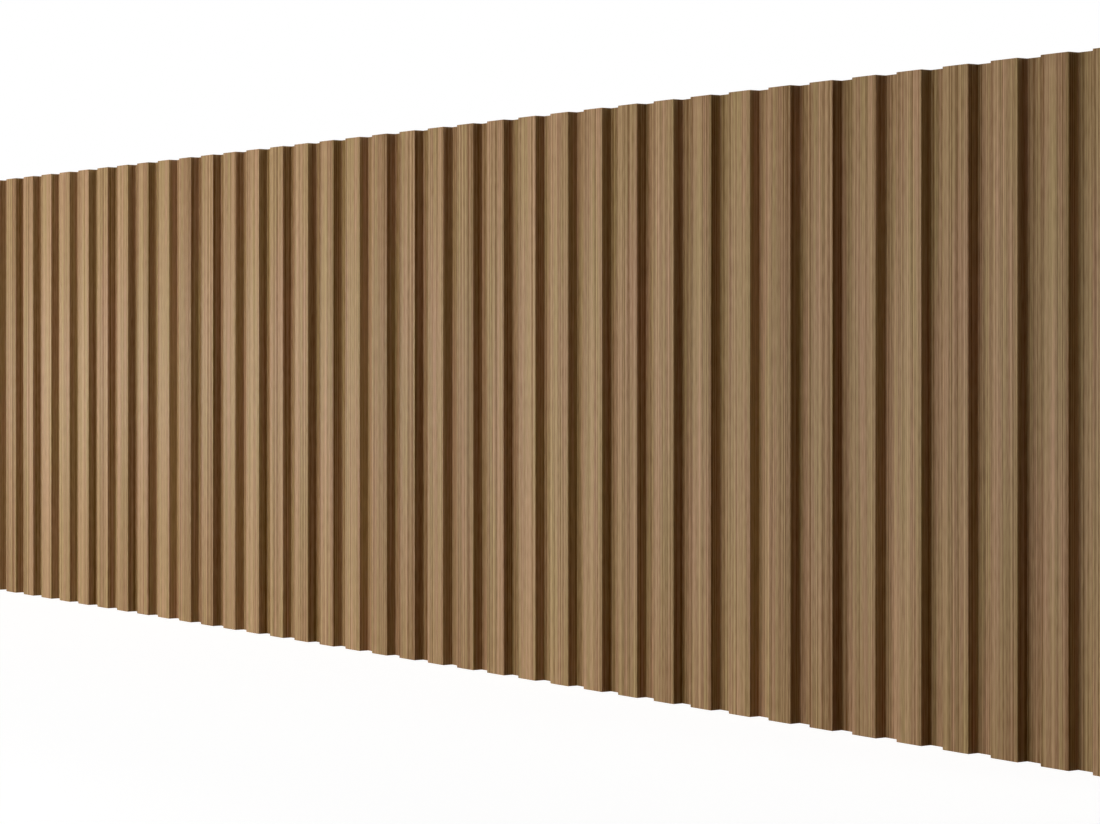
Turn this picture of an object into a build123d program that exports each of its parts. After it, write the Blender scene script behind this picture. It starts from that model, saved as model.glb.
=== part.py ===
from build123d import *
import os

# Three-dimensional wall panel: a run of ribbed boards that interlock along their upright edges.
# X runs along the wall and Z is up. The boards lie on the wall plane Y = 0 and their ribs face -Y.
# The origin is the middle of the run and of its height, on the wall plane. Sizes are in millimetres.

# Run of boards along the wall
board_count = 11
ribs_per_board = 4
board_height = 350.0

# Ribs on the face of a board and the grooves between them
rib_pitch = 30.0
rib_face_width = 16.35
rib_flank_run = 1.5
groove_depth = 6.2
rib_edge_radius = 0.6
groove_corner_radius = 0.5

# Tongue under the first rib of a board
tongue_thickness = 3.0
tongue_reach = 5.0
tongue_tip_chamfer = 0.6

# Slot beside the last groove: a front lip, and behind it a longer shelf that takes the fixings
front_lip_thickness = 3.25
shelf_thickness = 3.25
shelf_reach = 9.0

# Play between a tongue and shelf and the board that covers them
tongue_side_clearance = 0.15
tongue_end_clearance = 0.5
shelf_end_clearance = 0.5

# Widths and levels that follow from the sizes above
board_cover_width = ribs_per_board * rib_pitch
run_width = board_count * board_cover_width
slot_depth = tongue_reach + tongue_end_clearance
rebate_width = shelf_reach + shelf_end_clearance
wall_y = 0.0
shelf_front_y = wall_y - shelf_thickness
tongue_back_y = shelf_front_y - tongue_side_clearance
tongue_front_y = tongue_back_y - tongue_thickness
lip_back_y = tongue_front_y - tongue_side_clearance
groove_floor_y = lip_back_y - front_lip_thickness
rib_face_y = groove_floor_y - groove_depth


def rib_corners(foot_x):
    """Corners of one rib from its left foot, over the face, to its right foot."""
    face_x = foot_x + rib_flank_run
    return [
        (foot_x, groove_floor_y),
        (face_x, rib_face_y),
        (face_x + rib_face_width, rib_face_y),
        (face_x + rib_face_width + rib_flank_run, groove_floor_y),
    ]


def board_section():
    """Cross-section of one board, with its left shoulder at X = 0 and its back on the wall."""
    tongue_edge = [
        (rebate_width, wall_y),
        (rebate_width, tongue_back_y),
        (-tongue_reach, tongue_back_y),
        (-tongue_reach, tongue_front_y),
        (0, tongue_front_y),
    ]
    ribs = []
    for rib in range(ribs_per_board):
        ribs += rib_corners(rib * rib_pitch)
    slot_edge = [
        (board_cover_width, groove_floor_y),
        (board_cover_width, lip_back_y),
        (board_cover_width - slot_depth, lip_back_y),
        (board_cover_width - slot_depth, shelf_front_y),
        (board_cover_width + shelf_reach, shelf_front_y),
        (board_cover_width + shelf_reach, wall_y),
    ]
    section = make_face(Polyline(*tongue_edge, *ribs, *slot_edge, close=True))

    # Two chamfers ease the tip of the tongue into the slot.
    tongue_tip = section.vertices().group_by(Axis.X)[0]
    section = chamfer(tongue_tip, tongue_tip_chamfer)

    # The rib edges and the inner corners of the grooves are rounded, so that a film can lie over them.
    # The two outermost points at floor level are the seams with the neighbouring boards and stay sharp.
    rib_edges = section.vertices().group_by(Axis.Y)[0]
    section = fillet(rib_edges, rib_edge_radius)
    floor_points = section.vertices().filter_by_position(
        Axis.Y, groove_floor_y, groove_floor_y
    )
    groove_corners = floor_points.sort_by(Axis.X)[1:-1]
    return fillet(groove_corners, groove_corner_radius)


def board():
    """One board: its section drawn up to the full height, about the middle of that height."""
    upright = extrude(board_section(), amount=board_height, dir=(0, 0, 1))
    return Pos(Z=-board_height / 2) * upright


os.makedirs("parts", exist_ok=True)
ribbed_board = board()
for number in range(board_count):
    shoulder_x = number * board_cover_width - run_width / 2
    placed = Pos(X=shoulder_x) * ribbed_board
    export_step(placed, f"parts/board_{number + 1:02d}.step")
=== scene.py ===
import math

import bpy
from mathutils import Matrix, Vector


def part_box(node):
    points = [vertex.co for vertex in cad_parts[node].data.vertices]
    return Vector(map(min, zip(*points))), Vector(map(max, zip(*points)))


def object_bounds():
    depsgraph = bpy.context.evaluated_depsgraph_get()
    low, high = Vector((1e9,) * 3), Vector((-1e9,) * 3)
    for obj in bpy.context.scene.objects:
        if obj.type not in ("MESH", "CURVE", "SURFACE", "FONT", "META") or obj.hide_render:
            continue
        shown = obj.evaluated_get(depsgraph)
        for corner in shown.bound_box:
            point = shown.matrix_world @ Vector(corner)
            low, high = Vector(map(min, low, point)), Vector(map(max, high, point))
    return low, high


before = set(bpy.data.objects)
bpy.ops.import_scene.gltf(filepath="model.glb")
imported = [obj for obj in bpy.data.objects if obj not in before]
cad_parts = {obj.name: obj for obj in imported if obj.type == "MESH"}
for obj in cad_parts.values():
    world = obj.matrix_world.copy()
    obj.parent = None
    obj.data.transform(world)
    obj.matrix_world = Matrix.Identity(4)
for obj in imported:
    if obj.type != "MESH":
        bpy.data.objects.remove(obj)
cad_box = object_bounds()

# Ribbed boards. Each is one fibreboard moulding with four upright ribs, wrapped over its face and
# both shoulders in a printed oak film; the back, the tongue, the slot and the sawn ends stay bare.
# The boards push together tongue into slot and are glued or clipped to the wall by their backs.
RIBS_PER_BOARD = 4
TONGUE_REACH = 0.005
FILM_EDGE_Y = -0.0066

# The print has three variants, which follow one another along the run in this order.
PRINT_VARIANTS = "abc"
FILM_PRINTS = "cabcbcabcbc"
VARIANT_SHIFT = 17.0

# Layers of the printed grain from coarse to fine: size across the grain, size up the grain, and how
# much the layer darkens the print.
GRAIN_LAYERS = {
    "ribs": (0.021, 1.80, 0.90),
    "bands": (0.0052, 1.10, 0.35),
    "streaks": (0.0017, 0.70, 0.40),
    "fibres": (0.00074, 0.60, 1.90),
    "pores": (0.0008, 0.010, 0.70),
}
DRIFT_PATCH = (0.04, 0.20)
DRIFT_WIDTH = 0.0010
HUE_PATCH = (0.0042, 0.14)
HUE_RANGE = (0.25, 0.75)
HUE_SHIFT = (9.0, 4.0)
LIGHT_OAK_COOL = (0.477, 0.331, 0.141, 1.0)
LIGHT_OAK_WARM = (0.522, 0.313, 0.172, 1.0)
DARK_OAK_COOL = (0.145, 0.069, 0.008, 1.0)
DARK_OAK_WARM = (0.159, 0.065, 0.009, 1.0)
FILM_ROUGHNESS = 0.40
STREAK_ROUGHNESS = 0.12

# Bare fibreboard: pressed fibres, with small pale and dark flecks and faint larger clouds.
FLECK_SIZE = 0.0007
CLOUD_SIZE = 0.018
FLECK_SHARE = 0.85
CLOUD_SHARE = 0.15
FLECK_RANGE = (0.3, 0.7)
DARK_FIBRE = (0.300, 0.196, 0.108, 1.0)
PALE_FIBRE = (0.475, 0.345, 0.214, 1.0)
BARE_ROUGHNESS = 0.85

# Gloss and relief of both surfaces.
GLOSS = 0.14
RELIEF_STRENGTH = 0.25
RELIEF_HEIGHT = 0.00025


class Tone:
    """A value, colour or vector in a finish; arithmetic on values adds Math nodes."""

    def __init__(self, tree, socket=None):
        self.tree = tree
        self.socket = socket

    def node(self, kind, settings=None, inputs=None, output=0):
        added = self.tree.nodes.new(kind)
        for name, value in (settings or {}).items():
            setattr(added, name, value)
        for name, value in (inputs or {}).items():
            if isinstance(value, Tone):
                self.tree.links.new(value.socket, added.inputs[name])
            else:
                added.inputs[name].default_value = value
        return Tone(self.tree, added.outputs[output] if added.outputs else None)

    def math(self, operation, *values):
        return self.node("ShaderNodeMath", {"operation": operation}, dict(enumerate(values)))

    def __add__(self, other):
        return self.math("ADD", self, other)

    def __sub__(self, other):
        return self.math("SUBTRACT", self, other)

    def __rsub__(self, other):
        return self.math("SUBTRACT", other, self)

    def __mul__(self, other):
        return self.math("MULTIPLY", self, other)

    def __lt__(self, other):
        return self.math("LESS_THAN", self, other)

    def __abs__(self):
        return self.math("ABSOLUTE", self)

    __radd__ = __add__
    __rmul__ = __mul__


def grain_noise(place, across, along, offset, detail=1.0):
    """Noise with cells `across` metres wide over the grain and `along` metres long up the grain."""
    scale = (1 / across, 1 / across, 1 / along)
    space = place.node(
        "ShaderNodeVectorMath", {"operation": "MULTIPLY_ADD"}, {0: place, 1: scale, 2: offset}
    )
    inputs = {"Vector": space, "Scale": 1.0, "Detail": detail, "Roughness": 0.5}
    return place.node("ShaderNodeTexNoise", {"normalize": True}, inputs)


def ramped(value, low, high):
    """0 below low, 1 above high, with a smooth step between."""
    inputs = {"Value": value, "From Min": low, "From Max": high}
    return value.node("ShaderNodeMapRange", {"interpolation_type": "SMOOTHSTEP"}, inputs)


def mixed(factor, colour_a, colour_b):
    """colour_a where the factor is 0 and colour_b where it is 1."""
    settings = {"data_type": "RGBA"}
    return factor.node("ShaderNodeMix", settings, {0: factor, 6: colour_a, 7: colour_b}, output=2)


def oak_film_board(print_name, run_start, cover_width):
    """Finish of a board: printed oak film on the face, bare fibreboard everywhere else."""
    material = bpy.data.materials.new(f"oak_film_{print_name}")
    material.use_nodes = True
    tree = material.node_tree
    tree.nodes.clear()
    start = Tone(tree)
    shift = VARIANT_SHIFT * (PRINT_VARIANTS.index(print_name) + 1)
    offset = (shift, 0.0, shift)

    position = start.node("ShaderNodeTexCoord", output="Object")
    split = {"Vector": position}
    x = start.node("ShaderNodeSeparateXYZ", None, split, output="X")
    y = start.node("ShaderNodeSeparateXYZ", None, split, output="Y")
    z = start.node("ShaderNodeSeparateXYZ", None, split, output="Z")
    board_x = start.math("WRAP", x - run_start, cover_width, 0.0)

    # The streaks wander a little sideways on their way up the board.
    upright = start.node("ShaderNodeCombineXYZ", None, {"X": board_x, "Y": y, "Z": z})
    drift = (grain_noise(upright, *DRIFT_PATCH, offset) - 0.5) * DRIFT_WIDTH
    place = start.node("ShaderNodeCombineXYZ", None, {"X": board_x + drift, "Y": y, "Z": z})

    layers = {}
    shade = 0.5
    for layer, (across, along, weight) in GRAIN_LAYERS.items():
        layers[layer] = grain_noise(place, across, along, offset)
        shade = shade + (layers[layer] - 0.5) * weight
    hue = grain_noise(place, *HUE_PATCH, (shift, *HUE_SHIFT))
    warmth = ramped(hue, *HUE_RANGE)
    light_oak = mixed(warmth, LIGHT_OAK_COOL, LIGHT_OAK_WARM)
    dark_oak = mixed(warmth, DARK_OAK_COOL, DARK_OAK_WARM)
    film = mixed(shade, light_oak, dark_oak)

    flecks = grain_noise(position, FLECK_SIZE, FLECK_SIZE, offset, detail=3.0)
    clouds = grain_noise(position, CLOUD_SIZE, CLOUD_SIZE, offset, detail=2.0)
    fibre_tone = ramped(flecks * FLECK_SHARE + clouds * CLOUD_SHARE, *FLECK_RANGE)
    fibreboard = mixed(fibre_tone, DARK_FIBRE, PALE_FIBRE)

    # The film lies on upright faces in front of the edge where it is trimmed off.
    normal = start.node("ShaderNodeNewGeometry", output="True Normal")
    up = start.node("ShaderNodeSeparateXYZ", None, {"Vector": normal}, output="Z")
    covered = (abs(up) < 0.5) * (y < FILM_EDGE_Y)

    film_relief = (layers["fibres"] + layers["streaks"]) * 0.5
    relief = covered * film_relief + (1 - covered) * flecks
    bump_inputs = {"Strength": RELIEF_STRENGTH, "Distance": RELIEF_HEIGHT, "Height": relief}
    bump = start.node("ShaderNodeBump", None, bump_inputs)
    film_roughness = FILM_ROUGHNESS + STREAK_ROUGHNESS * layers["streaks"]
    finish = start.node(
        "ShaderNodeBsdfPrincipled",
        None,
        {
            "Base Color": mixed(covered, fibreboard, film),
            "Roughness": covered * film_roughness + (1 - covered) * BARE_ROUGHNESS,
            "Specular IOR Level": GLOSS,
            "Normal": bump,
        },
    )
    start.node("ShaderNodeOutputMaterial", None, {"Surface": finish})
    return material


board_names = sorted(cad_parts)
run_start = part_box(board_names[0])[0][0] + TONGUE_REACH
cover_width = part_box(board_names[1])[0][0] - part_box(board_names[0])[0][0]
rib_pitch = cover_width / RIBS_PER_BOARD
film_finishes = {name: oak_film_board(name, run_start, cover_width) for name in PRINT_VARIANTS}
for board_name, print_name in zip(board_names, FILM_PRINTS):
    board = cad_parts[board_name]
    board.data.materials.clear()
    board.data.materials.append(film_finishes[print_name])

# Pale floor under the boards, white to the camera and to reflections, with the boards' shadow on it,
# and a white surround of the same kind that gives the room a low, even fill.
FLOOR_HALF = 12.0
FLOOR_PAINT = (0.80, 0.80, 0.80, 1.0)
FLOOR_SHARE = 0.75
FLOOR_GLOW = 1.27
WHITE = (1.0, 1.0, 1.0, 1.0)
ROOM_FILL = 0.032


def seen_directly(start):
    """1 for what the camera sees itself, in a reflection or through glass, 0 for light on the object."""
    seen = start.node("ShaderNodeLightPath", output="Is Camera Ray")
    for ray in ("Is Glossy Ray", "Is Transmission Ray"):
        seen = start.math("MAXIMUM", seen, start.node("ShaderNodeLightPath", output=ray))
    return seen


floor_z = cad_box[0][2]
floor_signs = [(-1, -1), (1, -1), (1, 1), (-1, 1)]
floor_corners = [(FLOOR_HALF * i, FLOOR_HALF * j, floor_z) for i, j in floor_signs]
floor_mesh = bpy.data.meshes.new("studio_floor")
floor_mesh.from_pydata(floor_corners, [], [(0, 1, 2, 3)])
floor = bpy.data.objects.new("studio_floor", floor_mesh)
bpy.context.scene.collection.objects.link(floor)
floor_finish = bpy.data.materials.new("studio_floor")
floor_finish.use_nodes = True
floor_finish.node_tree.nodes.clear()
paint = Tone(floor_finish.node_tree)
matt = paint.node("ShaderNodeBsdfDiffuse", None, {"Color": FLOOR_PAINT})
glow = paint.node("ShaderNodeEmission", None, {"Strength": FLOOR_GLOW})
share = seen_directly(paint) * FLOOR_SHARE
surface = paint.node("ShaderNodeMixShader", None, {0: share, 1: matt, 2: glow})
paint.node("ShaderNodeOutputMaterial", None, {"Surface": surface})
floor_mesh.materials.append(floor_finish)

world = bpy.data.worlds.new("studio")
bpy.context.scene.world = world
world.use_nodes = True
world.node_tree.nodes.clear()
air = Tone(world.node_tree)
fill = air.node("ShaderNodeBackground", None, {"Color": WHITE, "Strength": ROOM_FILL})
white = air.node("ShaderNodeBackground", None, {"Color": WHITE, "Strength": 1.0})
sky = air.node("ShaderNodeMixShader", None, {0: seen_directly(air), 1: fill, 2: white})
air.node("ShaderNodeOutputWorld", None, {"Surface": sky})

# Studio lamps. A long strip softbox stands to the left in front, so that each rib shades the groove on
# its right; small gridded ones lift the left end, the feet of the boards and the slot edge at the
# right; one hangs behind for the bare backs and the sawn ends.
GRID_SPREAD = 36.0
face_y = cad_box[0][1]
slot_edge_x = cad_box[1][0]


def softbox(name, place, target, size, power, spread=180.0):
    lamp = bpy.data.lights.new(name, "AREA")
    lamp.shape = "RECTANGLE"
    lamp.size, lamp.size_y = size
    lamp.energy = power
    lamp.spread = math.radians(spread)
    stand = bpy.data.objects.new(name, lamp)
    stand.location = place
    stand.rotation_euler = (Vector(target) - Vector(place)).to_track_quat("-Z", "Y").to_euler()
    stand.visible_camera = False
    bpy.context.scene.collection.objects.link(stand)


softbox(
    "strip_softbox",
    place=(-1.15, -1.9, 0.0),
    target=(-1.15, 0.0, 0.0),
    size=(2.75, 0.34),
    power=43.0,
)
softbox(
    "left_softbox",
    place=(-1.05, -0.62, 0.0),
    target=(-0.25, face_y, 0.0),
    size=(0.5, 0.12),
    power=0.09,
    spread=GRID_SPREAD,
)
softbox(
    "low_softbox",
    place=(-0.5, -0.9, -0.11),
    target=(0.35, 0.0, -0.36),
    size=(0.9, 0.05),
    power=0.14,
    spread=GRID_SPREAD,
)
softbox(
    "back_softbox",
    place=(0.2, 1.4, 1.0),
    target=(0.0, 0.0, 0.0),
    size=(1.8, 1.0),
    power=34.0,
)
softbox(
    "end_softbox",
    place=(1.6, 0.25, 0.05),
    target=(slot_edge_x, 0.0, 0.0),
    size=(0.3, 0.4),
    power=0.35,
    spread=GRID_SPREAD,
)

# Camera. It stands to the right of the run, above the middle of the boards, and looks along them to
# the left with upright lines kept upright; the run is cut off at both sides of the picture.
PHOTO_WIDTH = 1100
SENSOR_WIDTH = 36.0
FOCAL_PIXELS = 2179.0
HORIZON_RISE = 61.8
VIEW_YAW = math.radians(47.95)
EYE_SHARE = 0.585
CLIP_START = 0.01

# Places in rib pitches: the right edge of a board's first rib from its shoulder, and the camera from
# that edge on the second board, along the wall and out from the rib faces.
RIB_EDGE = 0.595
CAMERA_ALONG = 55.6
CAMERA_OUT = 29.9
first_rib_edge = run_start + cover_width + RIB_EDGE * rib_pitch
eye_height = cad_box[0][2] + EYE_SHARE * (cad_box[1][2] - cad_box[0][2])

camera_data = bpy.data.cameras.new("camera")
camera_data.sensor_fit = "HORIZONTAL"
camera_data.sensor_width = SENSOR_WIDTH
camera_data.lens = FOCAL_PIXELS * SENSOR_WIDTH / PHOTO_WIDTH
camera_data.shift_y = -HORIZON_RISE / PHOTO_WIDTH
camera_data.clip_start = CLIP_START
camera = bpy.data.objects.new("camera", camera_data)
camera.location = (first_rib_edge + CAMERA_ALONG * rib_pitch, face_y - CAMERA_OUT * rib_pitch, eye_height)
camera.rotation_euler = (math.pi / 2, 0.0, VIEW_YAW)
bpy.context.scene.collection.objects.link(camera)
bpy.context.scene.camera = camera
bpy.context.scene.view_settings.view_transform = "Standard"
